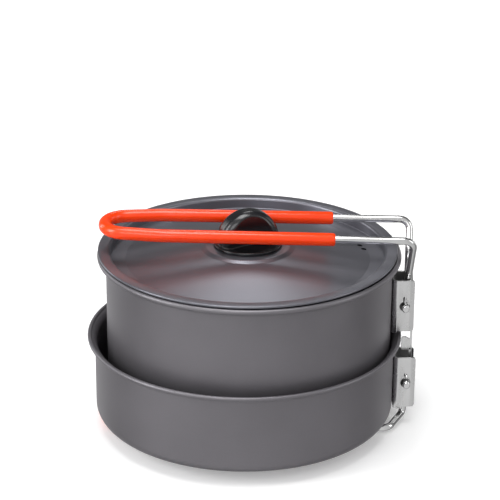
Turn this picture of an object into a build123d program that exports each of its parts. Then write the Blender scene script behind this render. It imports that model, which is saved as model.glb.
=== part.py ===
from build123d import *
from math import asin, cos, sin
import os

# Nesting camping cookware: a frying pan, a pot that stands in it and the pot's
# lid. Pan and pot each have a folding wire handle with a silicone sleeve.
# Millimetres, +Z up. The origin is on the pan's axis, level with whatever the
# set stands on. The brackets and hinges are on the +X side.

# ---- driving dimensions -----------------------------------------------------
sheet = 1.2                  # pan and pot wall and base
foot_gap = 0.2               # between the folded handle's sleeve and the pan's base

pan_wall_r = 82.0            # outer wall radius
pan_height = 46.8            # base underside to rim top
pan_rim_out = 4.0            # the rolled rim reaches this far beyond the wall
pan_bead = 2.4               # rolled rim thickness
pan_corner = 6.0             # outer radius between base and wall

nest_gap = 0.8               # between pot and pan walls at their closest
pot_rim_out = 4.6
pot_bead = 3.0
pot_corner = 8.0
pot_shift = 2.4              # the pot stands this far towards the hinges

lid_sheet = 0.8
lid_inset = 1.3              # the lid's edge stays this far inside the pot's rim
lid_shift = 1.5              # the lid lies this far towards the hinges
lid_seat_gap = 0.1           # between the lid's hem and the pot's rim
lid_hem_width = 1.7
lid_hem_height = 0.9
lid_plug_gap = 0.5           # between the plug wall and the pot's inside at their closest
lid_plug_depth = 6.0
lid_dome_rise = 6.2          # channel floor to the foot of the boss
lid_channel = 8.2            # width of the low flat channel inside the plug wall
lid_boss_r = 23.0
lid_boss_slope = 2.5         # width of the boss's sloping edge
lid_boss_rise = 1.3
vent_r = 1.5
vents = [(11.5, 12.0), (13.5, 17.0)]  # in from the plug wall along X, and along Y
small_vent_r = 0.6
small_vent = (5.7, -17.6)

knob_skirt_r = 18.7
knob_skirt_height = 1.7
knob_skirt_foot = 0.5        # the skirt's foot tapers in over this height
knob_skirt_taper = 1.2       # and by this much
knob_skirt_edge = 0.8        # width of its raised edge
knob_skirt_lift = 0.4        # rise of that edge, and depth of the dip behind it
knob_skirt_dip = 4.5         # the dip's distance from the edge
knob_skirt_crown = 0.6       # rise of its middle
knob_grip_r = 17.0
knob_grip_height = 19.9      # above the lid's boss
knob_grip_width = 14.0
knob_scoop_r = 42.0          # finger hollows on the grip's two faces
knob_scoop_depth = 1.3
knob_edge = 5.2              # rounding of the grip's edges
knob_turn = 21.6             # degrees that the grip stands turned about Z
insert_r = 3.4
insert_length = 9.0
insert_bottom = 1.0          # plastic left between the screw's end and the insert's
screw_r = 2.0
screw_head_r = 4.2
screw_head_height = 2.4
screw_head_round = 1.2
screw_cross_width = 0.9
screw_cross_depth = 1.3
washer_r = 5.5
washer_sheet = 0.8
screw_clearance = 0.1

wire_r = 2.0
sleeve_wall = 1.5
pin_clearance = 0.05         # between a wire end and the keyhole it bears on
pin_play = 0.8               # keyhole radius beyond the wire's
pin_reach = 2.9              # how far the wire ends stand out of the ears
pin_bend_inner = 0.6         # inside radius of the bend at each pin
pin_bears = (0.6, 0.8)       # direction the handles pull their pins: out and down
lip_clearance = 0.3          # between the wires and the ears' turned-in lips

bracket_sheet = 1.1
bracket_depth = 12.2         # from the wall to the ears' free edges
bracket_height = 29.7
bracket_bend = 3.0           # outer radius between web and ears
bracket_web_tail = 1.2       # the web reaches this far below the ears
bracket_web_corner = 0.5
bracket_over_rim = 1.3       # between the pan's rim and the pot bracket's web
lip_width = 2.6              # strip along each ear's free edge
lip_inward = 0.8             # how far that strip turns in
ear_corner = 1.6
pot_rim_above_bracket = 14.7 # this sets the pot's height: its bracket clears the pan's rim
keyhole_slot = 1.8
keyhole_slot_rise = 3.0      # slot's reach above the round hole
keyhole_out = 6.9            # round hole's centre from the wall
keyhole_up = 14.7            # round hole's centre above the ears' lower edge

rivet_r = 1.5
rivet_head_r = 2.6
rivet_head = 1.3
rivet_back_r = 3.0
rivet_back = 0.5
rivet_seat = 0.06            # the low head clears the wall's inward curve by this
rivet_inset = 5.5            # rivet centre from each end of the bracket

pot_arm_height = 12.0        # arm centre above the pot's rim at the hinge end
pot_arm_climb = 0.0139       # rise for each mm towards the tip
pot_arm_out = 3.1            # outer bend beyond the keyhole
pot_leg_lean = 1.5           # outward lean of the straight leg
pot_half_width = 16.2        # half the distance between the arms at the hinge end
pan_half_width = 19.0
pan_arm_in = 2.5             # the pan's arms start this far inside its wall
pan_leg_lean = 1.3           # inward lean of the pan handle's straight leg
leg_top_rise = 1.2           # the pot's legs stay straight this far past the ears
leg_top_bend = 6.0
leg_foot_drop = 3.1          # the pan's legs reach this far past the ears
leg_foot_rise = 1.86         # and end this far above the pan's arms
tip_inset = 2.3              # closed end inside the pot's wall
tip_half_width = 11.5        # half the width of the closed end
tip_length = 30.3            # the arms draw in over this length
tip_start_half_width = 15.3
tip_bend = 12.5
tip_start_bend = 50.0
leg_bend = 5.5
leg_foot_bend = 3.4
sleeve_inset = 29.6          # sleeve's open ends inside the pot's wall
sleeve_end_round = 1.2

tongue_sheet = 1.0
tongue_leg_gap = 0.8         # between the tongue and the handle's legs
tongue_out = 10.3            # outer edge beyond the wall
tongue_plate_width = 5.9
tongue_below_rim = 3.9       # top of the plate below the pan's rim
tongue_plate_height = 8.0
tongue_crown_height = 1.5    # height of the plate's sloping top
tongue_crown_in = 0.6        # and where its flat begins, past the middle
tongue_leg_width = 1.9
tongue_spike_width = 1.1
tongue_spike_rise = 4.5
tongue_foot_height = 5.0
tongue_foot_width = 5.0
tongue_foot_up = 15.9        # foot above the ears' lower edge
tongue_corner = 0.5
tongue_tip_round = 0.3
tongue_hole_r = 0.65
tongue_hole = (1.1, 0.6)     # in from the outer edge, up from the plate's lower edge

# ---- places worked out from them --------------------------------------------
pan_rim_r = pan_wall_r + pan_rim_out
pot_wall_r = pan_wall_r - sheet - pot_shift - nest_gap
pot_rim_r = pot_wall_r + pot_rim_out
lid_r = pot_rim_r - lid_inset
lid_plug_r = pot_wall_r - sheet - (pot_shift - lid_shift) - lid_plug_gap
sleeve_r = wire_r + sleeve_wall
pan_base_z = 2 * sleeve_r + foot_gap
pan_rim_z = pan_base_z + pan_height
pot_base_z = pan_base_z + sheet
pot_bracket_z = pan_rim_z + bracket_over_rim + bracket_web_tail
pot_rim_z = pot_bracket_z + bracket_height + pot_rim_above_bracket
lid_hem_z = pot_rim_z + lid_seat_gap
lid_ring_z = lid_hem_z + lid_hem_height
lid_channel_z = lid_ring_z - lid_plug_depth
lid_dome_z = lid_channel_z + lid_dome_rise
lid_boss_z = lid_dome_z + lid_boss_rise
knob_z = lid_boss_z + lid_sheet

# each wire end bears on the lower outer side of its keyhole
keyhole_r = wire_r + pin_play
pin_offset = keyhole_r - wire_r - pin_clearance
pin_x = keyhole_out + pin_bears[0] * pin_offset
pin_z = keyhole_up - pin_bears[1] * pin_offset
leg_y = tongue_sheet / 2 + tongue_leg_gap + wire_r
bracket_width = 2 * (leg_y + wire_r + lip_clearance + bracket_sheet + lip_inward)
pin_end_y = bracket_width / 2 + pin_reach
pin_bend = wire_r + pin_bend_inner
# the legs stay narrow until they are past the ears' corners, at any fold
ear_top_reach = bracket_height - pin_z
ear_out_reach = bracket_depth - pin_x
leg_straight = (ear_top_reach**2 + ear_out_reach**2) ** 0.5

pan_hinge_wall_x = pan_wall_r
pot_hinge_wall_x = pot_shift + pot_wall_r
pan_arm_z = sleeve_r
pan_leg_foot_z = pan_arm_z + leg_foot_rise
pan_pin_x = pan_hinge_wall_x + pin_x
pan_pin_z = pan_leg_foot_z + leg_foot_drop + leg_straight
pan_bracket_z = pan_pin_z - pin_z
pot_pin_x = pot_hinge_wall_x + pin_x
pot_pin_z = pot_bracket_z + pin_z
pot_hinge_x = pot_hinge_wall_x + keyhole_out + pot_arm_out
pot_arm_z = pot_rim_z + pot_arm_height
pan_hinge_x = pan_hinge_wall_x - pan_arm_in
tip_x = tip_inset - pot_wall_r
tip_start_x = tip_x + tip_length
sleeve_start_x = pot_wall_r - sleeve_inset

os.makedirs("parts", exist_ok=True)


def write(part, label):
    """Label a finished piece and write it as a STEP file of that name."""
    part.label = label
    export_step(part, f"parts/{label}.step")


def half_section(axis_x):
    """Vertical plane for a half section about the upright axis at axis_x."""
    return Plane(origin=(axis_x, 0, 0), x_dir=(1, 0, 0), z_dir=(0, -1, 0))


def vessel_profile(axis_x, wall_r, base_z, rim_z, rim_r, bead, corner):
    """Half section of a deep-drawn vessel with an outward rolled rim."""
    bead_r = bead / 2
    flare = rim_r - bead_r - wall_r + sheet / 2
    turn_z = rim_z - bead_r - sheet / 2 - flare
    with BuildSketch(half_section(axis_x)) as profile:
        with BuildLine():
            FilletPolyline(
                (0, base_z),
                (wall_r, base_z),
                (wall_r, turn_z),
                (rim_r - bead_r, rim_z - bead_r - sheet / 2),
                radius=[corner, flare],
            )
            offset(amount=sheet, side=Side.LEFT)
        make_face()
        with Locations((rim_r - bead_r, rim_z - bead_r)):
            Circle(bead_r)
    return profile.sketch


def rivet_heights(bracket_z):
    """Heights of the two rivets that hold a bracket."""
    return [bracket_z + rivet_inset, bracket_z + bracket_height - rivet_inset]


# ---- pan and pot ------------------------------------------------------------
with BuildPart() as pan_shell:
    add(vessel_profile(0, pan_wall_r, pan_base_z, pan_rim_z, pan_rim_r, pan_bead, pan_corner))
    revolve(axis=Axis.Z)
    for height in rivet_heights(pan_bracket_z):
        with BuildSketch(Plane.YZ.offset(pan_wall_r - 2 * sheet)):
            with Locations((0, height)):
                Circle(rivet_r)
        extrude(amount=4 * sheet, mode=Mode.SUBTRACT)
write(pan_shell.part, "pan_shell")

pot_axis = Axis((pot_shift, 0, 0), (0, 0, 1))
with BuildPart() as pot_shell:
    add(vessel_profile(pot_shift, pot_wall_r, pot_base_z, pot_rim_z, pot_rim_r, pot_bead, pot_corner))
    revolve(axis=pot_axis)
    for height in rivet_heights(pot_bracket_z):
        with BuildSketch(Plane.YZ.offset(pot_hinge_wall_x - 2 * sheet)):
            with Locations((0, height)):
                Circle(rivet_r)
        extrude(amount=4 * sheet, mode=Mode.SUBTRACT)
write(pot_shell.part, "pot_shell")


# ---- brackets, rivets and the tongue between them ----------------------------
def bracket(wall_x, bottom_z):
    """U-shaped hinge bracket: web on the wall, two ears with keyholes."""
    half = bracket_width / 2
    edge_x = wall_x + bracket_depth
    with BuildPart() as made:
        with BuildSketch(Plane.XY.offset(bottom_z - bracket_web_tail)):
            with BuildLine():
                FilletPolyline(
                    (edge_x, -half + lip_inward),
                    (edge_x - lip_width, -half),
                    (wall_x, -half),
                    (wall_x, half),
                    (edge_x - lip_width, half),
                    (edge_x, half - lip_inward),
                    radius=[lip_width, bracket_bend, bracket_bend, lip_width],
                )
                offset(amount=bracket_sheet, side=Side.RIGHT)
            make_face()
        extrude(amount=bracket_height + bracket_web_tail)
        # side outline: rounded ear corners, and a tail that only the web has
        with BuildSketch(Plane.XZ):
            with BuildLine():
                FilletPolyline(
                    (wall_x - 1, bottom_z - bracket_web_tail),
                    (wall_x + bracket_bend, bottom_z - bracket_web_tail),
                    (wall_x + bracket_bend, bottom_z),
                    (edge_x, bottom_z),
                    (edge_x, bottom_z + bracket_height),
                    (wall_x - 1, bottom_z + bracket_height),
                    radius=[bracket_web_corner, bracket_web_corner, ear_corner, ear_corner],
                )
                Line(
                    (wall_x - 1, bottom_z + bracket_height),
                    (wall_x - 1, bottom_z - bracket_web_tail),
                )
            make_face()
        extrude(amount=bracket_width, both=True, mode=Mode.INTERSECT)
        with BuildSketch(Plane.XZ):
            with Locations((wall_x + keyhole_out, bottom_z + keyhole_up)):
                Circle(keyhole_r)
            with Locations((wall_x + keyhole_out, bottom_z + keyhole_up + keyhole_r)):
                SlotCenterToCenter(
                    2 * (keyhole_slot_rise - keyhole_slot / 2), keyhole_slot, rotation=90
                )
        extrude(amount=bracket_width, both=True, mode=Mode.SUBTRACT)
        for height in rivet_heights(bottom_z):
            with BuildSketch(Plane.YZ.offset(wall_x - 1)):
                with Locations((0, height)):
                    Circle(rivet_r)
            extrude(amount=bracket_sheet + 2, mode=Mode.SUBTRACT)
    return made.part


def rivet(wall_x, height):
    """One rivet through web and wall, domed outside and low inside."""
    inner_x = wall_x - sheet
    outer_x = wall_x + bracket_sheet
    back_x = inner_x - rivet_seat
    dome_r = (rivet_head_r**2 + rivet_head**2) / (2 * rivet_head)
    dome_half = asin(rivet_head_r / dome_r) / 2
    with BuildPart() as made:
        with BuildSketch(Plane.XZ):
            with BuildLine():
                Polyline(
                    (back_x - rivet_back, height),
                    (back_x - rivet_back, height + rivet_back_r - rivet_back),
                    (back_x, height + rivet_back_r),
                    (back_x, height + rivet_r),
                    (outer_x, height + rivet_r),
                    (outer_x, height + rivet_head_r),
                )
                ThreePointArc(
                    (outer_x, height + rivet_head_r),
                    (
                        outer_x + rivet_head - dome_r * (1 - cos(dome_half)),
                        height + dome_r * sin(dome_half),
                    ),
                    (outer_x + rivet_head, height),
                )
                Line((outer_x + rivet_head, height), (back_x - rivet_back, height))
            make_face()
        revolve(axis=Axis((0, 0, height), (1, 0, 0)))
    return made.part


write(bracket(pan_hinge_wall_x, pan_bracket_z), "pan_bracket")
write(bracket(pot_hinge_wall_x, pot_bracket_z), "pot_bracket")
for place, height in zip(("lower", "upper"), rivet_heights(pan_bracket_z)):
    write(rivet(pan_hinge_wall_x, height), f"pan_rivet_{place}")
for place, height in zip(("lower", "upper"), rivet_heights(pot_bracket_z)):
    write(rivet(pot_hinge_wall_x, height), f"pot_rivet_{place}")

tongue_edge_x = pan_hinge_wall_x + tongue_out
tongue_web_x = pan_hinge_wall_x + bracket_sheet
tongue_top_z = pan_rim_z - tongue_below_rim
tongue_plate_z = tongue_top_z - tongue_plate_height
tongue_foot_z = pan_bracket_z + tongue_foot_up
tongue_radii = (
    [2 * tongue_corner]
    + 3 * [tongue_tip_round]
    + [2 * tongue_corner, 3 * tongue_corner]
    + 3 * [tongue_corner]
)
with BuildPart() as pan_tongue:
    with BuildSketch(Plane.XZ) as tongue_side:
        with BuildLine():
            FilletPolyline(
                (tongue_web_x, tongue_foot_z),
                (tongue_edge_x, tongue_foot_z),
                (tongue_edge_x, tongue_top_z + tongue_spike_rise),
                (tongue_edge_x - tongue_spike_width, tongue_top_z + tongue_spike_rise),
                (tongue_edge_x - tongue_spike_width, tongue_top_z - tongue_crown_height),
                (tongue_edge_x - tongue_plate_width / 2 - tongue_crown_in, tongue_top_z),
                (tongue_edge_x - tongue_plate_width, tongue_top_z),
                (tongue_edge_x - tongue_plate_width, tongue_plate_z),
                (tongue_edge_x - tongue_leg_width, tongue_plate_z),
                (tongue_edge_x - tongue_leg_width, tongue_foot_z + tongue_foot_height),
                (tongue_web_x, tongue_foot_z + tongue_foot_height),
                radius=tongue_radii,
            )
            Line((tongue_web_x, tongue_foot_z + tongue_foot_height), (tongue_web_x, tongue_foot_z))
        make_face()
        with Locations((tongue_edge_x - tongue_hole[0], tongue_plate_z + tongue_hole[1])):
            Circle(tongue_hole_r, mode=Mode.SUBTRACT)
    extrude(amount=tongue_sheet / 2, both=True)
    with BuildSketch(Plane.XY.offset(tongue_foot_z)):
        with Locations((tongue_web_x, -tongue_sheet / 2)):
            Rectangle(tongue_sheet, tongue_foot_width, align=(Align.MIN, Align.MIN))
    extrude(amount=tongue_foot_height)
write(pan_tongue.part, "pan_tongue")


# ---- folding handles ----------------------------------------------------------
def arm_points(half_width, hinge_x, arm_z, climb, from_x):
    """Corners of a handle from one arm at from_x round the tip to the other."""
    slope = (half_width - tip_start_half_width) / (hinge_x - tip_start_x)
    start_half_width = half_width - slope * (hinge_x - from_x)
    corners = [
        (from_x, start_half_width),
        (tip_start_x, tip_start_half_width),
        (tip_x, tip_half_width),
    ]
    arm = [(x, y, arm_z + climb * (hinge_x - x)) for x, y in corners]
    return arm + other_side(arm)


def other_side(points):
    """The same points mirrored to the other arm, in reverse order."""
    return [(x, -y, z) for x, y, z in reversed(points)]


tip_bends = [tip_start_bend, tip_bend, tip_bend, tip_start_bend]


def wire(points, radii):
    """Round wire along a path of straight runs and tangent bends."""
    with BuildPart() as made:
        with BuildLine() as path:
            FilletPolyline(*points, radius=radii)
        with BuildSketch(Plane(origin=path.line @ 0, z_dir=path.line % 0)):
            Circle(wire_r)
        sweep()
    return made.part


def sleeve(points, radii):
    """Silicone tube that grips the wire, with rounded ends."""
    with BuildPart() as made:
        with BuildLine() as path:
            FilletPolyline(*points, radius=radii)
        with BuildSketch(Plane(origin=path.line @ 0, z_dir=path.line % 0)):
            Circle(sleeve_r)
            Circle(wire_r, mode=Mode.SUBTRACT)
        sweep()
        ends = made.faces().filter_by(GeomType.PLANE)
        fillet(ends.edges().group_by(SortBy.RADIUS)[-1], sleeve_end_round)
    return made.part


pot_leg = [
    (pot_pin_x, pin_end_y, pot_pin_z),
    (pot_pin_x, leg_y, pot_pin_z),
    (pot_pin_x + pot_leg_lean, leg_y, pot_pin_z + leg_straight + leg_top_rise),
]
pot_arms = arm_points(pot_half_width, pot_hinge_x, pot_arm_z, pot_arm_climb, pot_hinge_x)
pot_path = pot_leg + pot_arms + other_side(pot_leg)
pot_bends = [pin_bend, leg_top_bend, leg_bend] + tip_bends + [leg_bend, leg_top_bend, pin_bend]
write(wire(pot_path, pot_bends), "pot_handle_wire")
pot_sleeve_path = arm_points(
    pot_half_width, pot_hinge_x, pot_arm_z, pot_arm_climb, sleeve_start_x
)
write(sleeve(pot_sleeve_path, tip_bends), "pot_handle_sleeve")

pan_leg = [
    (pan_pin_x, pin_end_y, pan_pin_z),
    (pan_pin_x, leg_y, pan_pin_z),
    (pan_pin_x - pan_leg_lean, leg_y, pan_leg_foot_z),
]
pan_arms = arm_points(pan_half_width, pan_hinge_x, pan_arm_z, 0, pan_hinge_x)
pan_path = pan_leg + pan_arms + other_side(pan_leg)
pan_bends = [pin_bend, leg_foot_bend, leg_bend] + tip_bends + [leg_bend, leg_foot_bend, pin_bend]
write(wire(pan_path, pan_bends), "pan_handle_wire")
pan_sleeve_path = arm_points(pan_half_width, pan_hinge_x, pan_arm_z, 0, sleeve_start_x)
write(sleeve(pan_sleeve_path, tip_bends), "pan_handle_sleeve")

# ---- lid ----------------------------------------------------------------------
lid_turn_axis = Axis((lid_shift, 0, 0), (0, 0, 1))
channel_r = lid_plug_r - lid_sheet - lid_channel
with BuildPart() as lid_panel:
    with BuildSketch(half_section(lid_shift)):
        with BuildLine():
            FilletPolyline(
                (0, lid_boss_z),
                (lid_boss_r, lid_boss_z),
                (lid_boss_r + lid_boss_slope, lid_dome_z),
                (channel_r, lid_channel_z),
                (lid_plug_r, lid_channel_z),
                (lid_plug_r, lid_ring_z),
                (lid_r, lid_ring_z),
                radius=[2.0, 3.0, 4.0, 1.2, 0.8],
            )
            offset(amount=lid_sheet, side=Side.LEFT)
        make_face()
        with Locations((lid_r, lid_hem_z)):
            Rectangle(lid_hem_width, lid_hem_height + lid_sheet / 2, align=(Align.MAX, Align.MIN))
    revolve(axis=lid_turn_axis)
    with Locations((lid_shift, 0, lid_boss_z)):
        Hole(screw_r + screw_clearance)
    for inward, sideways in vents:
        with Locations((lid_shift + lid_plug_r - inward, sideways, lid_ring_z)):
            Hole(vent_r)
    with Locations((lid_shift + lid_plug_r - small_vent[0], small_vent[1], lid_ring_z)):
        Hole(small_vent_r)
write(lid_panel.part, "lid_panel")

# ---- knob -----------------------------------------------------------------------
knob_place = Plane(origin=(lid_shift, 0, knob_z), x_dir=(1, 0, 0), z_dir=(0, 0, 1)).rotated((0, 0, knob_turn))
with BuildPart() as knob_grip:
    grip_plane = Plane(origin=knob_place.origin, x_dir=knob_place.x_dir, z_dir=-knob_place.y_dir)
    with BuildSketch(grip_plane):
        with BuildLine():
            side_height = knob_grip_height - knob_grip_r
            Line((-knob_grip_r, 0), (knob_grip_r, 0))
            Line((knob_grip_r, 0), (knob_grip_r, side_height))
            ThreePointArc(
                (knob_grip_r, side_height),
                (0, knob_grip_height),
                (-knob_grip_r, side_height),
            )
            Line((-knob_grip_r, side_height), (-knob_grip_r, 0))
        make_face()
    extrude(amount=knob_grip_width / 2, both=True)
    outline = knob_grip.edges().filter_by(Plane(knob_place.origin, z_dir=knob_place.y_dir), reverse=False)
    fillet([e for e in outline if e.center().Z > knob_z + 1], knob_edge)
    scoop_middle = knob_grip_width / 2 - knob_scoop_depth + knob_scoop_r
    with BuildSketch(knob_place):
        with Locations((0, scoop_middle), (0, -scoop_middle)):
            Circle(knob_scoop_r)
    extrude(amount=knob_grip_height, mode=Mode.SUBTRACT)
    with BuildSketch(Plane(origin=knob_place.origin, x_dir=(1, 0, 0), z_dir=(0, -1, 0))):
        with BuildLine():
            Polyline(
                (0, 0),
                (knob_skirt_r - knob_skirt_taper, 0),
                (knob_skirt_r, knob_skirt_foot),
                (knob_skirt_r, knob_skirt_height),
                (knob_skirt_r - knob_skirt_edge, knob_skirt_height + knob_skirt_lift),
                (knob_skirt_r - knob_skirt_dip, knob_skirt_height - knob_skirt_lift),
                (0, knob_skirt_height + knob_skirt_crown),
                (0, 0),
            )
        make_face()
    revolve(axis=lid_turn_axis)
    with BuildSketch(knob_place):
        Circle(insert_r)
    extrude(amount=insert_length, mode=Mode.SUBTRACT)
write(knob_grip.part, "knob_grip")

with BuildPart() as knob_insert:
    with BuildSketch(knob_place):
        Circle(insert_r)
        Circle(screw_r, mode=Mode.SUBTRACT)
    extrude(amount=insert_length)
write(knob_insert.part, "knob_insert")

with BuildPart() as knob_washer:
    with BuildSketch(Plane.XY.offset(lid_boss_z)):
        with Locations((lid_shift, 0)):
            Circle(washer_r)
            Circle(screw_r + screw_clearance, mode=Mode.SUBTRACT)
    extrude(amount=-washer_sheet)
write(knob_washer.part, "knob_washer")

with BuildPart() as knob_screw:
    head_z = lid_boss_z - washer_sheet
    with BuildSketch(Plane.XY.offset(head_z - screw_head_height)):
        with Locations((lid_shift, 0)):
            Circle(screw_head_r)
    extrude(amount=screw_head_height)
    fillet(knob_screw.edges().group_by(Axis.Z)[0], screw_head_round)
    with BuildSketch(Plane.XY.offset(head_z)):
        with Locations((lid_shift, 0)):
            Circle(screw_r)
    extrude(amount=knob_z + insert_length - insert_bottom - head_z)
    with BuildSketch(Plane.XY.offset(head_z - screw_head_height)):
        with Locations((lid_shift, 0)):
            Rectangle(screw_head_r, screw_cross_width)
            Rectangle(screw_cross_width, screw_head_r)
    extrude(amount=screw_cross_depth, mode=Mode.SUBTRACT)
write(knob_screw.part, "knob_screw")
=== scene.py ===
from math import asin, cos, pi, radians, sin, tan

import bmesh
import bpy
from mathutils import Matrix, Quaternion, Vector


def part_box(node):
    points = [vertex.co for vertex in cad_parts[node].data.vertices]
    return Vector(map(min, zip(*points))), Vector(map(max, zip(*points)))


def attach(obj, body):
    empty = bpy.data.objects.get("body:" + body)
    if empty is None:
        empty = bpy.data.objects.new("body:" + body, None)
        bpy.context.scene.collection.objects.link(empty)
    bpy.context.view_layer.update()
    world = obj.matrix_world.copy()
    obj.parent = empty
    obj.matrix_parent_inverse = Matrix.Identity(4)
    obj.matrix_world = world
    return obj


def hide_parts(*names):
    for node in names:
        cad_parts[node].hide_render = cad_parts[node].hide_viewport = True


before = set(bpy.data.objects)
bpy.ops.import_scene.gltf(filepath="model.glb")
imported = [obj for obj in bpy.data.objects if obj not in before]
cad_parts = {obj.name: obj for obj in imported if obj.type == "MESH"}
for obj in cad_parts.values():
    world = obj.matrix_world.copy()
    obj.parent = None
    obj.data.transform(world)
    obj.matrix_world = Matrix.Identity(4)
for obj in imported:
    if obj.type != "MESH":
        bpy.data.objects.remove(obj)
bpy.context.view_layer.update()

# Nesting camping cookware: pan, pot, lid and two folding wire handles.
# Metres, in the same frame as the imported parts. The hinges are on the +X side.
scene = bpy.context.scene
mm = 0.001
weldReach = 1e-7


def middle(node):
    low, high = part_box(node)
    return (low + high) / 2


# camera, lights and floor
viewPoint = {
    "place": (0.00275, -0.9895, 0.50235),
    "lookDown": 22.09,  # degrees
    "lean": 0.38,  # degrees about the line of sight
    "lens": 142.19,
    "sensor": 36.0,
    "clip": (0.01, 50),
}
studio = {
    "backdrop": 1.0,
    "airFront": 0.80,  # soft light that comes from before the object
    "airBack": 0.16,  # and from behind it
    "airRight": 0.72,  # share of it that is left on the hinge side
    "lowBack": 0.60,  # what edges mirror of the pale floor behind the object
    "airSpans": {  # from and to along one axis of the direction looked in
        "frontToBack": ("Y", -0.5, 0.5),
        "leftToRight": ("X", -0.6, 0.6),
        "belowLevel": ("Z", 0.02, -0.15),
        "straightBack": ("Y", 0.35, 0.7),
    },
    "floorSize": 12.0,
    "floorGap": 0.1 * mm,  # keeps it clear of what stands on it
    "floorTint": (0.90, 0.90, 0.90),
    "floorGlow": 0.22,  # the floor glows: painted light that keeps its shadows light
    "farGlow": 0.75,  # stronger painted light on the floor far from the softboxes
    "nearReach": 0.9,
    "farReach": 2.6,
    "lights": [
        # name, place, aimed at, width, depth, power
        ("backSoftbox", (0.0, 1.40, 1.42), (0, 0, 0.08), 0.44, 0.50, 2.5),
        ("topSoftbox", (-0.1, -0.1, 1.6), (0, 0, 0.05), 1.0, 0.7, 15.0),
        ("leftSoftbox", (-1.5, -0.5, 0.75), (0, 0, 0.05), 0.5, 1.2, 14.0),
        ("leftEdge", (-1.35, 0.85, 0.40), (0, 0, 0.05), 0.45, 0.9, 4.0),
        ("rightEdge", (1.35, 0.75, 0.40), (0, 0, 0.05), 0.40, 0.9, 1.6),
        ("rightSoftbox", (1.5, -0.35, 0.75), (0, 0, 0.05), 0.4, 1.2, 4.0),
        ("frontSoftbox", (-0.5, -1.6, 1.15), (0, 0, 0.05), 0.9, 0.7, 7.0),
    ],
}


def makeCamera():
    data = bpy.data.cameras.new("camera")
    data.sensor_width = viewPoint["sensor"]
    data.lens = viewPoint["lens"]
    data.clip_start, data.clip_end = viewPoint["clip"]
    camera = bpy.data.objects.new("camera", data)
    scene.collection.objects.link(camera)
    camera.location = viewPoint["place"]
    down = radians(viewPoint["lookDown"])
    toward = Vector((0, cos(down), -sin(down)))
    turn = toward.to_track_quat("-Z", "Y")
    camera.rotation_mode = "QUATERNION"
    camera.rotation_quaternion = turn @ Quaternion((0, 0, 1), radians(viewPoint["lean"]))
    scene.camera = camera


def makeLight(name, spot, target, width, depth, power):
    data = bpy.data.lights.new(name, "AREA")
    data.shape = "RECTANGLE"
    data.size = width
    data.size_y = depth
    data.energy = power
    light = bpy.data.objects.new(name, data)
    scene.collection.objects.link(light)
    light.location = spot
    aim = Vector(target) - Vector(spot)
    light.rotation_mode = "QUATERNION"
    light.rotation_quaternion = aim.to_track_quat("-Z", "Y")
    light.visible_camera = False


def background(tree, strength):
    made = tree.nodes.new("ShaderNodeBackground")
    made.inputs["Color"].default_value = (1, 1, 1, 1)
    made.inputs["Strength"].default_value = strength
    return made


def airShare(tree, axes, spanName, first, last):
    # goes smoothly from first to last over one named span of directions
    axis, start, end = studio["airSpans"][spanName]
    span = tree.nodes.new("ShaderNodeMapRange")
    span.interpolation_type = "SMOOTHSTEP"
    span.inputs["From Min"].default_value = start
    span.inputs["From Max"].default_value = end
    span.inputs["To Min"].default_value = first
    span.inputs["To Max"].default_value = last
    tree.links.new(axes.outputs[axis], span.inputs["Value"])
    return span.outputs["Result"]


def makeWorld():
    world = bpy.data.worlds.new("studioAir")
    scene.world = world
    world.use_nodes = True
    tree = world.node_tree
    tree.nodes.clear()
    out = tree.nodes.new("ShaderNodeOutputWorld")
    facing = tree.nodes.new("ShaderNodeTexCoord")
    axes = tree.nodes.new("ShaderNodeSeparateXYZ")
    tree.links.new(facing.outputs["Generated"], axes.inputs["Vector"])
    # the air is brighter in front than behind, and on the left than on the hinge side
    both = tree.nodes.new("ShaderNodeMath")
    both.operation = "MULTIPLY"
    depth = airShare(tree, axes, "frontToBack", studio["airFront"], studio["airBack"])
    side = airShare(tree, axes, "leftToRight", 1.0, studio["airRight"])
    tree.links.new(depth, both.inputs[0])
    tree.links.new(side, both.inputs[1])
    total = tree.nodes.new("ShaderNodeMath")
    total.operation = "MULTIPLY_ADD"
    tree.links.new(airShare(tree, axes, "belowLevel", 0.0, 1.0), total.inputs[0])
    tree.links.new(airShare(tree, axes, "straightBack", 0.0, studio["lowBack"]), total.inputs[1])
    tree.links.new(both.outputs["Value"], total.inputs[2])
    air = background(tree, 1.0)
    tree.links.new(total.outputs["Value"], air.inputs["Strength"])
    seen = background(tree, studio["backdrop"])
    path = tree.nodes.new("ShaderNodeLightPath")
    mix = tree.nodes.new("ShaderNodeMixShader")
    tree.links.new(path.outputs["Is Camera Ray"], mix.inputs["Fac"])
    tree.links.new(air.outputs["Background"], mix.inputs[1])
    tree.links.new(seen.outputs["Background"], mix.inputs[2])
    tree.links.new(mix.outputs["Shader"], out.inputs["Surface"])


makeCamera()
for spec in studio["lights"]:
    makeLight(*spec)
makeWorld()
scene.view_settings.view_transform = "Standard"
print("camera and lights ready")


# finishes
def newFinish(name, **plain):
    # a principled material; plain holds the values that are the same all over
    finish = bpy.data.materials.new(name)
    finish.use_nodes = True
    shader = finish.node_tree.nodes["Principled BSDF"]
    for socket, value in plain.items():
        shader.inputs[socket].default_value = value
    return finish, finish.node_tree, shader


def objectSpace(tree, stretch=(1, 1, 1)):
    # object coordinates, stretched for one pattern
    where = tree.nodes.new("ShaderNodeTexCoord")
    mapping = tree.nodes.new("ShaderNodeMapping")
    mapping.inputs["Scale"].default_value = stretch
    tree.links.new(where.outputs["Object"], mapping.inputs["Vector"])
    return mapping.outputs["Vector"]


def noise(tree, vector, scale, detail, roughness=0.5):
    made = tree.nodes.new("ShaderNodeTexNoise")
    made.inputs["Scale"].default_value = scale
    made.inputs["Detail"].default_value = detail
    made.inputs["Roughness"].default_value = roughness
    tree.links.new(vector, made.inputs["Vector"])
    return made.outputs["Fac"]


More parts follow.
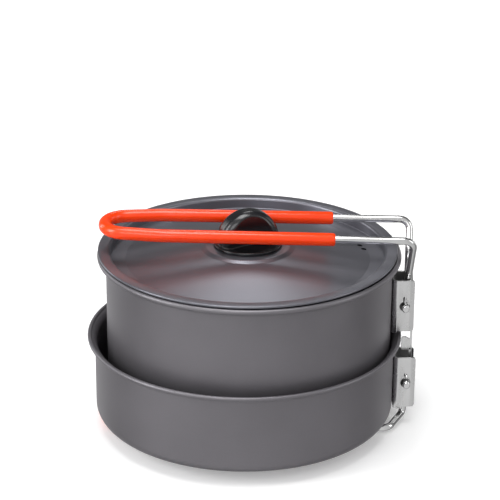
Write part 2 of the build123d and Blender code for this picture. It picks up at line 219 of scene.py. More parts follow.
def ramp(tree, value, span, first, last):
    # goes from first to last, greys or colours, over a span of the value
    made = tree.nodes.new("ShaderNodeValToRGB")
    for element, at, shade in zip(made.color_ramp.elements, span, (first, last)):
        element.position = at
        element.color = (shade, shade, shade, 1) if isinstance(shade, float) else (*shade, 1)
    tree.links.new(value, made.inputs["Fac"])
    return made.outputs["Color"]


def bump(tree, shader, height, distance, strength=1.0, below=None):
    made = tree.nodes.new("ShaderNodeBump")
    made.inputs["Distance"].default_value = distance
    made.inputs["Strength"].default_value = strength
    tree.links.new(height, made.inputs["Height"])
    if below is not None:
        tree.links.new(below, made.inputs["Normal"])
    tree.links.new(made.outputs["Normal"], shader.inputs["Normal"])
    return made.outputs["Normal"]


def blendOf(tree, low, high, amount):
    made = tree.nodes.new("ShaderNodeMix")
    made.data_type = "FLOAT"
    made.inputs["Factor"].default_value = amount
    tree.links.new(low, made.inputs["A"])
    tree.links.new(high, made.inputs["B"])
    return made.outputs["Result"]


def ringsAbout(tree, axisX, scale, detail):
    # noise that only changes with the height and the distance from an upright axis
    where = tree.nodes.new("ShaderNodeTexCoord")
    shift = tree.nodes.new("ShaderNodeMapping")
    shift.inputs["Location"].default_value = (-axisX, 0, 0)
    shift.inputs["Scale"].default_value = (1, 1, 0)
    tree.links.new(where.outputs["Object"], shift.inputs["Vector"])
    reach = tree.nodes.new("ShaderNodeVectorMath")
    reach.operation = "LENGTH"
    tree.links.new(shift.outputs["Vector"], reach.inputs[0])
    height = tree.nodes.new("ShaderNodeSeparateXYZ")
    tree.links.new(where.outputs["Object"], height.inputs["Vector"])
    join = tree.nodes.new("ShaderNodeCombineXYZ")
    tree.links.new(reach.outputs["Value"], join.inputs["X"])
    tree.links.new(height.outputs["Z"], join.inputs["Z"])
    return noise(tree, join.outputs["Vector"], scale, detail)


def anodised(name, axisX, tint, gloss):
    look = {
        "metal": 0.72,
        "grain": (2600.0, 2.0),  # scale and detail: pits of the anodic layer
        "cloud": (22.0, 4.0),  # slow drift of its colour
        "rings": (900.0, 2.0),  # marks left by spinning
        "grainShare": 0.35,
        "drift": 0.10,
        "driftSpan": (0.3, 0.7),
        "glossDrift": 0.08,
        "glossSpan": (0.25, 0.75),
        "pitDepth": 0.000012,
        "pitStrength": 0.6,
        "ringDepth": 0.000004,
    }
    finish, tree, shader = newFinish(name, Metallic=look["metal"])
    there = objectSpace(tree)
    cloud = noise(tree, there, *look["cloud"])
    grain = noise(tree, there, *look["grain"])
    mixed = blendOf(tree, cloud, grain, look["grainShare"])
    dark = [c * (1 - look["drift"]) for c in tint]
    light = [c * (1 + look["drift"]) for c in tint]
    colour = ramp(tree, mixed, look["driftSpan"], dark, light)
    tree.links.new(colour, shader.inputs["Base Color"])
    roughness = ramp(tree, mixed, look["glossSpan"], gloss, gloss + look["glossDrift"])
    tree.links.new(roughness, shader.inputs["Roughness"])
    rings = ringsAbout(tree, axisX, *look["rings"])
    first = bump(tree, shader, rings, look["ringDepth"])
    bump(tree, shader, grain, look["pitDepth"], look["pitStrength"], first)
    return finish


def brushedSteel(name, shade, rough, along):
    # rolled sheet or drawn wire: fine lines, drawn out along one axis, with duller spots
    look = {
        "lines": (260.0, 5.0, 0.6),  # scale, detail and roughness
        "spots": (90.0, 3.0),
        "spotShare": 0.4,
        "darkest": 0.88,
        "shadeSpan": (0.3, 0.7),
        "smoothest": 0.8,
        "roughest": 1.3,
        "glossSpan": (0.25, 0.75),
        "depth": 0.000006,
        "strength": 0.7,
    }
    finish, tree, shader = newFinish(name, Metallic=1.0)
    lines = noise(tree, objectSpace(tree, along), *look["lines"])
    spots = noise(tree, objectSpace(tree), *look["spots"])
    mixed = blendOf(tree, lines, spots, look["spotShare"])
    colour = ramp(tree, mixed, look["shadeSpan"], shade * look["darkest"], shade)
    tree.links.new(colour, shader.inputs["Base Color"])
    smooth, dull = rough * look["smoothest"], rough * look["roughest"]
    tree.links.new(ramp(tree, mixed, look["glossSpan"], smooth, dull), shader.inputs["Roughness"])
    bump(tree, shader, lines, look["depth"], look["strength"])
    return finish


def moulded(name, look, **plain):
    # silicone or phenolic: two shades drift through it under a fine moulded skin
    finish, tree, shader = newFinish(name, **plain)
    there = objectSpace(tree)
    drift = noise(tree, there, *look["drift"])
    skin = noise(tree, there, *look["skin"])
    colour = ramp(tree, drift, look["driftSpan"], look["dark"], look["light"])
    tree.links.new(colour, shader.inputs["Base Color"])
    roughness = ramp(tree, drift, look["glossSpan"], *look["roughness"])
    tree.links.new(roughness, shader.inputs["Roughness"])
    bump(tree, shader, skin, look["skinDepth"], look["skinStrength"])
    return finish


def silicone():
    look = {
        "drift": (60.0, 4.0),  # scale and detail
        "driftSpan": (0.3, 0.72),
        "dark": (0.88, 0.046, 0.001),
        "light": (0.94, 0.056, 0.002),
        "roughness": (0.19, 0.25),
        "glossSpan": (0.3, 0.7),
        "skin": (1500.0, 2.0),
        "skinDepth": 0.00001,
        "skinStrength": 0.5,
    }
    return moulded("orangeSilicone", look, **{
        "Subsurface Weight": 0.25,
        "Subsurface Scale": 0.003,
        "Subsurface Radius": (1.0, 0.25, 0.1),
        "Specular IOR Level": 0.5,
    })


def phenolic():
    look = {
        "drift": (70.0, 4.0),  # scale and detail
        "driftSpan": (0.3, 0.7),
        "dark": (0.003, 0.003, 0.004),
        "light": (0.006, 0.006, 0.008),
        "roughness": (0.23, 0.26),
        "glossSpan": (0.3, 0.7),
        "skin": (900.0, 2.0),
        "skinDepth": 0.000006,
        "skinStrength": 0.3,
    }
    return moulded("blackPhenolic", look, **{"Specular IOR Level": 0.62})


def turnedMetal(name, tint, rough):
    look = {
        "wear": (400.0, 4.0),  # scale and detail
        "wearSpan": (0.3, 0.7),
        "darkest": 0.8,
        "roughest": 1.4,
        "depth": 0.00001,
        "strength": 0.5,
    }
    finish, tree, shader = newFinish(name, Metallic=1.0)
    wear = noise(tree, objectSpace(tree), *look["wear"])
    dark = [c * look["darkest"] for c in tint]
    colour = ramp(tree, wear, look["wearSpan"], dark, tint)
    tree.links.new(colour, shader.inputs["Base Color"])
    roughness = ramp(tree, wear, look["wearSpan"], rough, rough * look["roughest"])
    tree.links.new(roughness, shader.inputs["Roughness"])
    bump(tree, shader, wear, look["depth"], look["strength"])
    return finish


def paleFloor():
    look = {"drift": (3.0, 2.0), "darkest": 0.99, "roughness": 0.8, "specular": 0.2}
    finish, tree, shader = newFinish("paleFloor", **{
        "Specular IOR Level": look["specular"],
        "Roughness": look["roughness"],
        "Emission Color": (1, 1, 1, 1),
    })
    reach = tree.nodes.new("ShaderNodeVectorMath")
    reach.operation = "LENGTH"
    tree.links.new(objectSpace(tree), reach.inputs[0])
    # the floor's glow is painted light: weaker near the object, where it lifts the shadows, stronger
    # far off
    glow = tree.nodes.new("ShaderNodeMapRange")
    glow.inputs["From Min"].default_value = studio["nearReach"]
    glow.inputs["From Max"].default_value = studio["farReach"]
    glow.inputs["To Min"].default_value = studio["floorGlow"]
    glow.inputs["To Max"].default_value = studio["farGlow"]
    tree.links.new(reach.outputs["Value"], glow.inputs["Value"])
    tree.links.new(glow.outputs["Result"], shader.inputs["Emission Strength"])
    tint = studio["floorTint"]
    drift = noise(tree, objectSpace(tree), *look["drift"])
    colour = ramp(tree, drift, (0.0, 1.0), [c * look["darkest"] for c in tint], tint)
    tree.links.new(colour, shader.inputs["Base Color"])
    return finish


vesselGrey = {"tint": (0.178, 0.170, 0.184), "gloss": 0.40}
lidGrey = {"tint": (0.170, 0.170, 0.194), "gloss": 0.28}
# near-black anodising for the walls of the vents: painted shade inside the holes
ventShadeGrey = {"tint": (0.020, 0.020, 0.022), "gloss": 0.50}
steels = {
    "brightWire": {"shade": 0.80, "rough": 0.11, "along": (1, 1, 1)},
    "satinSteel": {"shade": 0.80, "rough": 0.27, "along": (1, 1, 0.08)},  # its lines run upright
    # dark steel for the inside of the brackets: painted shade, rougher than the outside
    "insideShadeSteel": {"shade": 0.20, "rough": 0.45, "along": (1, 1, 0.08)},
}
turned = {
    "rivetSteel": {"tint": (0.62, 0.62, 0.63), "rough": 0.3},
    "zincSteel": {"tint": (0.60, 0.61, 0.64), "rough": 0.3},
    "insertBrass": {"tint": (0.75, 0.52, 0.22), "rough": 0.25},
}
potAxis = middle("pot_shell").x
lidAxis = middle("lid_panel").x
panFinish = anodised("panAnodised", 0.0, **vesselGrey)
potFinish = anodised("potAnodised", potAxis, **vesselGrey)
lidFinish = anodised("lidAnodised", lidAxis, **lidGrey)
ventShadeFinish = anodised("ventShadeEdge", lidAxis, **ventShadeGrey)
wireFinish = brushedSteel("brightWire", **steels["brightWire"])
bracketFinish = brushedSteel("satinSteel", **steels["satinSteel"])
# painted shade for the faces inside the bracket channels
insideShadeFinish = brushedSteel("insideShadeSteel", **steels["insideShadeSteel"])
siliconeFinish = silicone()
knobFinish = phenolic()
rivetFinish = turnedMetal("rivetSteel", **turned["rivetSteel"])
zincFinish = turnedMetal("zincSteel", **turned["zincSteel"])
brassFinish = turnedMetal("insertBrass", **turned["insertBrass"])
print("finishes ready")


# mesh helpers
def linkMesh(name, mesh):
    thing = bpy.data.objects.new(name, mesh)
    scene.collection.objects.link(thing)
    return thing


def roundedLine(corners, steps):
    # an outline through (across, up, radius) corners, each rounded by its radius
    nearlyStraight = pi - 1e-4
    points = [Vector(corners[0][:2])]
    for before, here, after in zip(corners, corners[1:], corners[2:]):
        radius = here[2]
        at = Vector(here[:2])
        back = (Vector(before[:2]) - at).normalized()
        on = (Vector(after[:2]) - at).normalized()
        opening = back.angle(on)
        if radius <= 0 or opening > nearlyStraight:
            points.append(at)
            continue
        reach = radius / tan(opening / 2)
        centre = at + (back + on).normalized() * radius / sin(opening / 2)
        start = at + back * reach - centre
        finish = at + on * reach - centre
        sweep = start.angle_signed(finish)
        for step in range(steps + 1):
            angle = -sweep * step / steps
            turned = Vector((
                start.x * cos(angle) - start.y * sin(angle),
                start.x * sin(angle) + start.y * cos(angle),
            ))
            points.append(centre + turned)
    points.append(Vector(corners[-1][:2]))
    return points


def outlineMesh(name, points):
    mesh = bpy.data.meshes.new(name)
    edges = [(i, i + 1) for i in range(len(points) - 1)]
    mesh.from_pydata([(p[0], 0, p[1]) for p in points], edges, [])
    return mesh


def newTree(name, sockets):
    # a geometry tree with a Geometry input and output and the named inputs between them
    tree = bpy.data.node_groups.new(name, "GeometryNodeTree")
    tree.interface.new_socket("Geometry", in_out="INPUT", socket_type="NodeSocketGeometry")
    for label, kind in sockets:
        tree.interface.new_socket(label, in_out="INPUT", socket_type=kind)
    tree.interface.new_socket("Geometry", in_out="OUTPUT", socket_type="NodeSocketGeometry")
    return tree, tree.nodes.new("NodeGroupInput"), tree.nodes.new("NodeGroupOutput")


def mathNode(tree, operation, first, second):
    made = tree.nodes.new("ShaderNodeMath")
    made.operation = operation
    for socket, value in zip(made.inputs, (first, second)):
        if isinstance(value, (int, float)):
            socket.default_value = value
        else:
            tree.links.new(value, socket)
    return made.outputs["Value"]


def endTree(tree, geometry, given, out):
    # every tree ends the same way: real geometry with its material
    smooth = tree.nodes.new("GeometryNodeSetShadeSmooth")
    real = tree.nodes.new("GeometryNodeRealizeInstances")
    paint = tree.nodes.new("GeometryNodeSetMaterial")
    tree.links.new(geometry, smooth.inputs["Geometry"])
    tree.links.new(smooth.outputs["Geometry"], real.inputs["Geometry"])
    tree.links.new(real.outputs["Geometry"], paint.inputs["Geometry"])
    tree.links.new(given.outputs["Finish"], paint.inputs["Material"])
    tree.links.new(paint.outputs["Geometry"], out.inputs["Geometry"])


def latheTree():
    # turns an outline drawn in X and Z about an upright axis
    tree, given, out = newTree("turnedOutline", [
        ("Axis X", "NodeSocketFloat"),
        ("Segments", "NodeSocketInt"),
        ("Weld", "NodeSocketFloat"),
        ("Finish", "NodeSocketMaterial"),
    ])
    size = tree.nodes.new("GeometryNodeAttributeDomainSize")
    tree.links.new(given.outputs["Geometry"], size.inputs["Geometry"])
    rows = size.outputs["Point Count"]
    grid = tree.nodes.new("GeometryNodeMeshGrid")
    tree.links.new(mathNode(tree, "ADD", given.outputs["Segments"], 1), grid.inputs["Vertices X"])
    tree.links.new(rows, grid.inputs["Vertices Y"])
    index = tree.nodes.new("GeometryNodeInputIndex").outputs["Index"]
    row = mathNode(tree, "MODULO", index, rows)
    halfway = mathNode(tree, "ADD", index, 0.5)  # keeps the division clear of whole numbers
    column = mathNode(tree, "FLOOR", mathNode(tree, "DIVIDE", halfway, rows), 0)
    sample = tree.nodes.new("GeometryNodeSampleIndex")
    sample.data_type = "FLOAT_VECTOR"
    sample.domain = "POINT"
    tree.links.new(given.outputs["Geometry"], sample.inputs["Geometry"])
    position = tree.nodes.new("GeometryNodeInputPosition")
    tree.links.new(position.outputs["Position"], sample.inputs["Value"])
    tree.links.new(row, sample.inputs["Index"])
    part = mathNode(tree, "DIVIDE", column, given.outputs["Segments"])
    turn = tree.nodes.new("ShaderNodeVectorRotate")
    turn.rotation_type = "Z_AXIS"
    tree.links.new(sample.outputs["Value"], turn.inputs["Vector"])
    tree.links.new(mathNode(tree, "MULTIPLY", part, 2 * pi), turn.inputs["Angle"])
    axis = tree.nodes.new("ShaderNodeCombineXYZ")
    tree.links.new(given.outputs["Axis X"], axis.inputs["X"])
    shift = tree.nodes.new("ShaderNodeVectorMath")
    shift.operation = "ADD"
    tree.links.new(turn.outputs["Vector"], shift.inputs[0])
    tree.links.new(axis.outputs["Vector"], shift.inputs[1])
    put = tree.nodes.new("GeometryNodeSetPosition")
    tree.links.new(grid.outputs["Mesh"], put.inputs["Geometry"])
    tree.links.new(shift.outputs["Vector"], put.inputs["Position"])
    weld = tree.nodes.new("GeometryNodeMergeByDistance")
    tree.links.new(put.outputs["Geometry"], weld.inputs["Geometry"])
    tree.links.new(given.outputs["Weld"], weld.inputs["Distance"])
    endTree(tree, weld.outputs["Geometry"], given, out)
    return tree


def rodTree():
    # a round rod or tube along a line of corners, each with its own bend radius and girth
    tree, given, out = newTree("bentRod", [
        ("Radius", "NodeSocketFloat"),
        ("Sides", "NodeSocketInt"),
        ("Bend Steps", "NodeSocketInt"),
        ("Finish", "NodeSocketMaterial"),
    ])
    line = tree.nodes.new("GeometryNodeMeshToCurve")
    tree.links.new(given.outputs["Geometry"], line.inputs["Mesh"])
    bend = tree.nodes.new("GeometryNodeInputNamedAttribute")
    bend.data_type = "FLOAT"
    bend.inputs["Name"].default_value = "bend"
    fillet = tree.nodes.new("GeometryNodeFilletCurve")
    fillet.mode = "POLY"
    tree.links.new(line.outputs["Curve"], fillet.inputs["Curve"])
    tree.links.new(given.outputs["Bend Steps"], fillet.inputs["Count"])
    tree.links.new(bend.outputs["Attribute"], fillet.inputs["Radius"])
    ring = tree.nodes.new("GeometryNodeCurvePrimitiveCircle")
    tree.links.new(given.outputs["Radius"], ring.inputs["Radius"])
    tree.links.new(given.outputs["Sides"], ring.inputs["Resolution"])
    girth = tree.nodes.new("GeometryNodeInputNamedAttribute")
    girth.data_type = "FLOAT"
    girth.inputs["Name"].default_value = "girth"
    rod = tree.nodes.new("GeometryNodeCurveToMesh")
    tree.links.new(fillet.outputs["Curve"], rod.inputs["Curve"])
    tree.links.new(ring.outputs["Curve"], rod.inputs["Profile Curve"])
    tree.links.new(girth.outputs["Attribute"], rod.inputs["Scale"])
    rod.inputs["Fill Caps"].default_value = True
    endTree(tree, rod.outputs["Mesh"], given, out)
    return tree


def grow(name, mesh, tree, values):
    # runs a geometry tree on a mesh and keeps the result as a plain mesh
    seed = linkMesh(name + "Seed", mesh)
    modifier = seed.modifiers.new("shape", "NODES")
    modifier.node_group = tree
    for item in tree.interface.items_tree:
        if item.item_type == "SOCKET" and item.in_out == "INPUT" and item.name in values:
            modifier[item.identifier] = values[item.name]
    graph = bpy.context.evaluated_depsgraph_get()
    made = bpy.data.meshes.new_from_object(seed.evaluated_get(graph))
    seed.modifiers.remove(modifier)
    bpy.data.objects.remove(seed)
    return linkMesh(name, made)


def faceOutwards(thing):
    shape = bmesh.new()
    shape.from_mesh(thing.data)
    bmesh.ops.remove_doubles(shape, verts=shape.verts, dist=weldReach)
    bmesh.ops.recalc_face_normals(shape, faces=shape.faces)
    shape.to_mesh(thing.data)
    shape.free()


def plainMesh(thing):
    # applies the modifiers and leaves none
    graph = bpy.context.evaluated_depsgraph_get()
    mesh = bpy.data.meshes.new_from_object(thing.evaluated_get(graph))
    thing.modifiers.clear()
    thing.data = mesh
    return mesh


def settle(thing, body, slot, *nodes):
    # the finished piece stands for its CAD nodes and moves with its body
    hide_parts(*nodes)
    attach(thing, body)


lathe = latheTree()
rod = rodTree()

# pan and pot
vessels = {
    "segments": 320,  # round the axis
    "cornerSteps": 14,
    "rollSteps": 26,
    "sheet": 1.2 * mm,
    "panBead": 2.4 * mm,  # thickness of the rolled rim
    "panCorner": 6.0 * mm,
    "panWall": 82.0 * mm,
    "potBead": 3.0 * mm,
    "potCorner": 8.0 * mm,
    "potWall": 77.6 * mm,
}


def vesselOutline(node, wall, bead, corner):
    # up the outside, round the rolled rim and down the inside
    low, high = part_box(node)
    sheet = vessels["sheet"]
    beadR = bead / 2
    rimR = high.y
    flare = rimR - beadR - wall + sheet / 2
    lip = high.z - beadR  # height of the bead's centre
    under = lip - sheet / 2
    over = lip + sheet / 2
    beadX = rimR - beadR
    hide = asin(sheet / 2 / beadR)
    joinX = beadX - beadR * cos(hide)
    outside = roundedLine([
        (0, low.z, 0),
        (wall, low.z, corner),
        (wall, under, flare),
        (joinX, under, 0),
    ], vessels["cornerSteps"])
    roll = []
    steps = vessels["rollSteps"]
    for step in range(steps + 1):
        angle = pi + hide + (2 * pi - 2 * hide) * step / steps
        roll.append(Vector((beadX + beadR * cos(angle), lip + beadR * sin(angle))))
    inside = roundedLine([
        (joinX, over, 0),
        (wall - sheet, over, flare + sheet),
        (wall - sheet, low.z + sheet, corner - sheet),
        (0, low.z + sheet, 0),
    ], vessels["cornerSteps"])
    return outside[:-1] + roll + inside[1:]


def makeVessel(name, node, axisX, wall, bead, corner, finish, body):
    outline = outlineMesh(name, vesselOutline(node, wall, bead, corner))
    thing = grow(name, outline, lathe, {
        "Axis X": axisX,
        "Segments": vessels["segments"],
        "Weld": weldReach,
        "Finish": finish,
    })
    faceOutwards(thing)
    settle(thing, body, "anodised", node)


makeVessel(
    "panShell", "pan_shell", 0.0, vessels["panWall"], vessels["panBead"], vessels["panCorner"],
    panFinish, "pan",
)
makeVessel(
    "potShell", "pot_shell", potAxis, vessels["potWall"], vessels["potBead"], vessels["potCorner"],
    potFinish, "pot",
)
print("pan and pot ready")

# lid
lidShape = {
    "segments": 320,
    "bendSteps": 8,
    "sheet": 0.8 * mm,
    "boss": 23.0 * mm,
    "bossRise": 1.3 * mm,
    "bossSlope": 2.5 * mm,
    "domeRise": 6.2 * mm,
    "plug": 75.0 * mm,
    "plugDepth": 6.0 * mm,
    "channel": 8.2 * mm,
    "hem": 1.7 * mm,
    "hemHeight": 0.9 * mm,
    "undercut": 0.9 * mm,
    "undercutRise": 0.7 * mm,
    "screwHole": 2.1 * mm,
    "ventR": 1.5 * mm,
    "vents": [(63.5 * mm, 12 * mm), (61.5 * mm, 17 * mm)],
    "pinholeR": 0.6 * mm,
    "pinholes": [(69.3 * mm, -17.6 * mm)],
    "drillSides": 32,
    "drillDepth": 20 * mm,
    "sharpAngle": 40,  # degrees
}
lidBends = {  # radius of each bend, below and on top of the sheet
    "bossEdge": (2.0 * mm, 2.8 * mm),
    "bossFoot": (3.0 * mm, 2.2 * mm),
    "domeFoot": (4.0 * mm, 4.8 * mm),
    "plugFoot": (1.2 * mm, 0.4 * mm),
    "plugTop": (0.8 * mm, 1.6 * mm),
    "hemInside": 0.3 * mm,
    "hemFoot": 0.2 * mm,
    "hemSide": 0.4 * mm,
    "hemTop": 0.6 * mm,
}


def lidOutline():
    low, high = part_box("lid_panel")
    sheet = lidShape["sheet"]
    edge = high.y
    floor = low.z  # underside of the low channel
    ring = floor + lidShape["plugDepth"]
    hemFoot = ring - lidShape["hemHeight"]
    dome = floor + lidShape["domeRise"]
    boss = dome + lidShape["bossRise"]
    bossR = lidShape["boss"]
    domeR = bossR + lidShape["bossSlope"]
    plug = lidShape["plug"]
    channel = plug - sheet - lidShape["channel"]
    hole = lidShape["screwHole"]
    below = {name: radii[0] for name, radii in lidBends.items() if isinstance(radii, tuple)}
    above = {name: radii[1] for name, radii in lidBends.items() if isinstance(radii, tuple)}
    points = roundedLine([
        (hole, boss, 0),
        (bossR, boss, below["bossEdge"]),
        (domeR, dome, below["bossFoot"]),
        (channel, floor, below["domeFoot"]),
        (plug, floor, below["plugFoot"]),
        (plug, ring, below["plugTop"]),
        (edge - lidShape["hem"], ring, lidBends["hemInside"]),
        (edge - lidShape["hem"], hemFoot, lidBends["hemInside"]),
        (edge - lidShape["undercut"], hemFoot, lidBends["hemFoot"]),
        (edge, hemFoot + lidShape["undercutRise"], lidBends["hemSide"]),
        (edge, ring + sheet, lidBends["hemTop"]),
        (plug - sheet, ring + sheet, above["plugTop"]),
        (plug - sheet, floor + sheet, above["plugFoot"]),
        (channel, floor + sheet, above["domeFoot"]),
        (domeR, dome + sheet, above["bossFoot"]),
        (bossR, boss + sheet, above["bossEdge"]),
        (hole, boss + sheet, 0),
    ], lidShape["bendSteps"])
    return points + [points[0].copy()], ring


def makeDrill(height):
    # one object with a pin for every vent
    cutter = bmesh.new()
    holes = [(x, y, lidShape["ventR"]) for x, y in lidShape["vents"]]
    holes += [(x, y, lidShape["pinholeR"]) for x, y in lidShape["pinholes"]]
    for x, y, radius in holes:
        made = bmesh.ops.create_cone(
            cutter, cap_ends=True, segments=lidShape["drillSides"],
            radius1=radius, radius2=radius, depth=lidShape["drillDepth"],
        )
        bmesh.ops.translate(cutter, verts=made["verts"], vec=(lidAxis + x, y, height))
    mesh = bpy.data.meshes.new("drill")
    cutter.to_mesh(mesh)
    cutter.free()
    # the vent walls take this near-black finish from the drill: painted shade
    mesh.materials.append(ventShadeFinish)
    return linkMesh("drill", mesh)


def makeLid():
    points, ring = lidOutline()
    thing = grow("lidPanel", outlineMesh("lidPanel", points), lathe, {
        "Axis X": lidAxis,
        "Segments": lidShape["segments"],
        "Weld": weldReach,
        "Finish": lidFinish,
    })
    faceOutwards(thing)
    drill = makeDrill(ring)
    cut = thing.modifiers.new("vents", "BOOLEAN")
    cut.operation = "DIFFERENCE"
    cut.object = drill
    cut.material_mode = "TRANSFER"
    drilled = plainMesh(thing)
    bpy.data.objects.remove(drill)
    drilled.shade_smooth()
    drilled.set_sharp_from_angle(angle=radians(lidShape["sharpAngle"]))
    settle(thing, "lid", "anodised", "lid_panel")


makeLid()
print("lid ready")

# wire handles and their sleeves
handles = {
    "wire": 2.0 * mm,
    "sleeve": 3.5 * mm,
    "sides": 40,
    "bendSteps": 14,
    "pinBend": 2.6 * mm,
    "legBend": 5.5 * mm,
    "tipBend": 12.5 * mm,
    "tipBlend": 50.0 * mm,
    "pinEnd": 10.4 * mm,  # Y of the hinge pin's end
    "legY": 3.3 * mm,
    "tipX": -75.3 * mm,
    "tipHalf": 11.5 * mm,  # half of the width there
    "bowX": -45.0 * mm,
    "bowHalf": 15.3 * mm,
    "sleeveFrom": 48.0 * mm,
    "endRound": 0.5 * mm,
    "endLeast": 0.72,  # share of the radius that is left at the wire's very end
    "sleeveRound": 1.2 * mm,
    "sleeveLeast": 0.74,
    "roundingAt": 0.3,  # where along the rounding most of the radius is back
    "roundingShare": 0.7,
}


def bothSides(half, bends):
    # the line's other half, mirrored in Y, in reverse
    other = [(x, -y, z) for x, y, z in reversed(half)]
    return half + other, bends + list(reversed(bends))


def rodMesh(name, points, bends, taper, least):
    # each end gets two more corners, so that its last stretch narrows to a rounded end
    line = [Vector(p) for p in points]
    radii = [0.0] + list(bends[1:-1]) + [0.0]
    girths = [1.0] * len(line)
    for end, inward in ((0, 1), (-1, -2)):
        along = (line[inward] - line[end]).normalized()
        nearly = least + (1 - least) * handles["roundingShare"]
        steps = [(0.0, least), (handles["roundingAt"], nearly), (1.0, 1.0)]
        extra = [line[end] + along * taper * share for share, _ in steps]
        if end == 0:
            line = extra + line[1:]
            girths = [g for _, g in steps] + girths[1:]
            radii = [0.0] * 3 + radii[1:]
        else:
            line = line[:-1] + extra[::-1]
            girths = girths[:-1] + [g for _, g in steps][::-1]
            radii = radii[:-1] + [0.0] * 3
    mesh = bpy.data.meshes.new(name)
    mesh.from_pydata(line, [(i, i + 1) for i in range(len(line) - 1)], [])
    for label, values in (("bend", radii), ("girth", girths)):
        layer = mesh.attributes.new(label, "FLOAT", "POINT")
        layer.data.foreach_set("value", values)
    return mesh


def makeRod(name, points, bends, radius, finish, taper, least):
    mesh = rodMesh(name, points, bends, taper, least)
    thing = grow(name, mesh, rod, {
        "Radius": radius,
        "Sides": handles["sides"],
        "Bend Steps": handles["bendSteps"],
        "Finish": finish,
    })
    for label in ("bend", "girth"):
        if label in thing.data.attributes:
            thing.data.attributes.remove(thing.data.attributes[label])
    faceOutwards(thing)
    return thing


def armLine(halfWidth, hingeX, armZ, climb, fromX):
    # corners of one arm from fromX to the middle of the tip
    slope = (halfWidth - handles["bowHalf"]) / (hingeX - handles["bowX"])
    stations = [
        (fromX, halfWidth - slope * (hingeX - fromX)),
        (handles["bowX"], handles["bowHalf"]),
        (handles["tipX"], handles["tipHalf"]),
    ]
    return [(x, y, armZ + climb * (hingeX - x)) for x, y in stations]


def makeHandle(word, pin, legTop, halfWidth, hingeX, armZ, climb, footBend, body):
    # the wire from one pin to the other, then the sleeve round its closed end
    leg = [
        (pin[0], handles["pinEnd"], pin[1]),
        (pin[0], handles["legY"], pin[1]),
        (legTop[0], handles["legY"], legTop[1]),
    ]
    tipBends = [handles["tipBlend"], handles["tipBend"]]
    points, bends = bothSides(
        leg + armLine(halfWidth, hingeX, armZ, climb, hingeX),
        [0, handles["pinBend"], footBend, handles["legBend"]] + tipBends,
    )
    wire = makeRod(
        word + "HandleWire", points, bends, handles["wire"], wireFinish,
        handles["endRound"], handles["endLeast"],
    )
    settle(wire, body, "bright_wire", word + "_handle_wire")
    points, bends = bothSides(
        armLine(halfWidth, hingeX, armZ, climb, handles["sleeveFrom"]), [0] + tipBends,
    )
    sleeve = makeRod(
        word + "HandleSleeve", points, bends, handles["sleeve"], siliconeFinish,
        handles["sleeveRound"], handles["sleeveLeast"],
    )
    settle(sleeve, body, "orange_silicone", word + "_handle_sleeve")


potHandle = {
    "pin": (87.35 * mm, 70.6 * mm),
    "legTop": (88.85 * mm, 88.14 * mm),
    "halfWidth": 16.2 * mm,
    "hingeX": 90.0 * mm,
    "armZ": 112.9 * mm,
    "climb": 0.0139,
    "footBend": 6.0 * mm,
}
panHandle = {
    "pin": (89.35 * mm, 24.8 * mm),
    "legTop": (88.05 * mm, 5.36 * mm),
    "halfWidth": 19.0 * mm,
    "hingeX": 79.5 * mm,
    "armZ": 3.5 * mm,
    "climb": 0.0,
    "footBend": 3.4 * mm,
}
makeHandle("pot", **potHandle, body="pot_handle")
makeHandle("pan", **panHandle, body="pan_handle")
print("handles ready")

# brackets and tongue
stampings = {
    "sheet": 1.1 * mm,
    "merge": 2e-6,
    "flat": 0.5,  # degrees
    "softEdge": 0.16 * mm,
    "tongueEdge": 0.12 * mm,
    "edgeSteps": 2,
    "edgeAngle": 32.0,  # degrees: sharper corners than this are softened
    "sharpAngle": 28.0,  # degrees: sharper edges than this aren't shaded smooth
    "earInside": 0.8,  # thicknesses of sheet in from the outside of the bracket
    "earSlack": 0.8 * mm,
    "facing": 0.6,
    "webFront": 0.6,  # thicknesses of sheet out from the vessel's wall
    "webFacing": 0.5,
    "webReach": 4.0 * mm,
}


def cadCopy(name, node, flat):
    # a merged copy of a CAD node; faces that turn less than flat degrees become one
    shape = bmesh.new()
    shape.from_mesh(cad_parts[node].data)
    bmesh.ops.remove_doubles(shape, verts=shape.verts, dist=stampings["merge"])
    if flat:
        bmesh.ops.dissolve_limit(
            shape, angle_limit=radians(flat), verts=shape.verts, edges=shape.edges,
        )
    mesh = bpy.data.meshes.new(name)
    shape.to_mesh(mesh)
    shape.free()
    return linkMesh(name, mesh)


def softened(thing, width):
    # stamped parts have no knife edges
    bevel = thing.modifiers.new("softEdge", "BEVEL")
    bevel.width = width
    bevel.segments = stampings["edgeSteps"]
    bevel.limit_method = "ANGLE"
    bevel.angle_limit = radians(stampings["edgeAngle"])
    bevel.use_clamp_overlap = True
    mesh = plainMesh(thing)
    mesh.shade_smooth()
    mesh.set_sharp_from_angle(angle=radians(stampings["sharpAngle"]))


def makeStamping(name, node, body, width):
    thing = cadCopy(name, node, stampings["flat"])
    softened(thing, width)
    thing.data.materials.clear()
    thing.data.materials.append(bracketFinish)
    settle(thing, body, "satin_steel", node)
    return thing


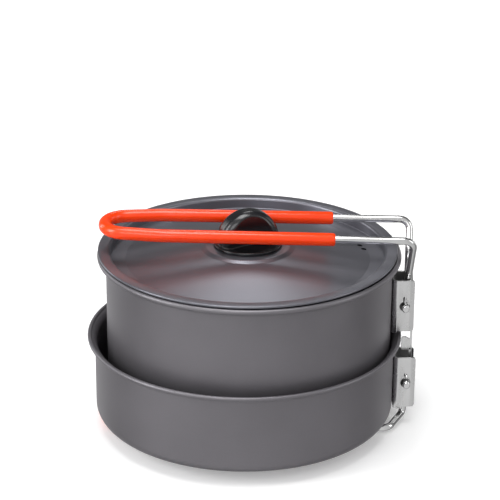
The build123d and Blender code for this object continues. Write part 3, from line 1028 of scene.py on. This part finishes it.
def paintShadeInside(thing, node):
    # the faces inside the channel get a dark, rougher steel: painted shade for the hollow between the
    # ears
    low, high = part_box(node)
    sheet = stampings["sheet"]
    inner = (high.y - low.y) / 2 - sheet * stampings["earInside"]
    web = low.x + sheet * stampings["webFront"]
    thing.data.materials.append(insideShadeFinish)
    for face in thing.data.polygons:
        at, out = face.center, face.normal
        inward = at.y * out.y < -abs(at.y) * stampings["facing"]
        onEar = abs(at.y) < inner + stampings["earSlack"] and inward
        onWeb = abs(at.y) < inner and web < at.x < low.x + stampings["webReach"]
        if onEar or (onWeb and out.x > stampings["webFacing"]):
            face.material_index = 1


for word in ("pan", "pot"):
    node = word + "_bracket"
    paintShadeInside(makeStamping(word + "Bracket", node, word, stampings["softEdge"]), node)
makeStamping("panTongue", "pan_tongue", "pan", stampings["tongueEdge"])
print("brackets ready")

# knob
knobShape = {
    "voxel": 0.22 * mm,  # the moulding is one skin, with every edge slightly rounded
    "smoothing": 0.5,
    "passes": 7,
}


def makeKnob():
    knob = cadCopy("knobGrip", "knob_grip", 0.0)
    skin = knob.modifiers.new("skin", "REMESH")
    skin.mode = "VOXEL"
    skin.voxel_size = knobShape["voxel"]
    skin.use_smooth_shade = True
    rounding = knob.modifiers.new("rounding", "SMOOTH")
    rounding.factor = knobShape["smoothing"]
    rounding.iterations = knobShape["passes"]
    mesh = plainMesh(knob)
    mesh.materials.clear()
    mesh.materials.append(knobFinish)
    settle(knob, "knob", "knob_black", "knob_grip")


makeKnob()
print("knob ready")

# rivets, screw, washer and insert keep their CAD shape
hardware = {
    "pan_rivet_lower": rivetFinish,
    "pan_rivet_upper": rivetFinish,
    "pot_rivet_lower": rivetFinish,
    "pot_rivet_upper": rivetFinish,
    "knob_washer": zincFinish,
    "knob_screw": zincFinish,
    "knob_insert": brassFinish,
}
for node, finish in hardware.items():
    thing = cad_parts[node]
    for entry in thing.material_slots:
        entry.material = finish
    if not thing.material_slots:
        thing.data.materials.append(finish)
print("hardware ready")

# floor
def makeFloor():
    half = studio["floorSize"] / 2
    level = -studio["floorGap"]
    corners = [(-half, -half, level), (half, -half, level), (half, half, level), (-half, half, level)]
    mesh = bpy.data.meshes.new("floor")
    mesh.from_pydata(corners, [], [(0, 1, 2, 3)])
    mesh.materials.append(paleFloor())
    floor = linkMesh("floor", mesh)
    floor.visible_glossy = False  # metal shows the darker studio round it, not the lit floor


makeFloor()
print("floor ready")
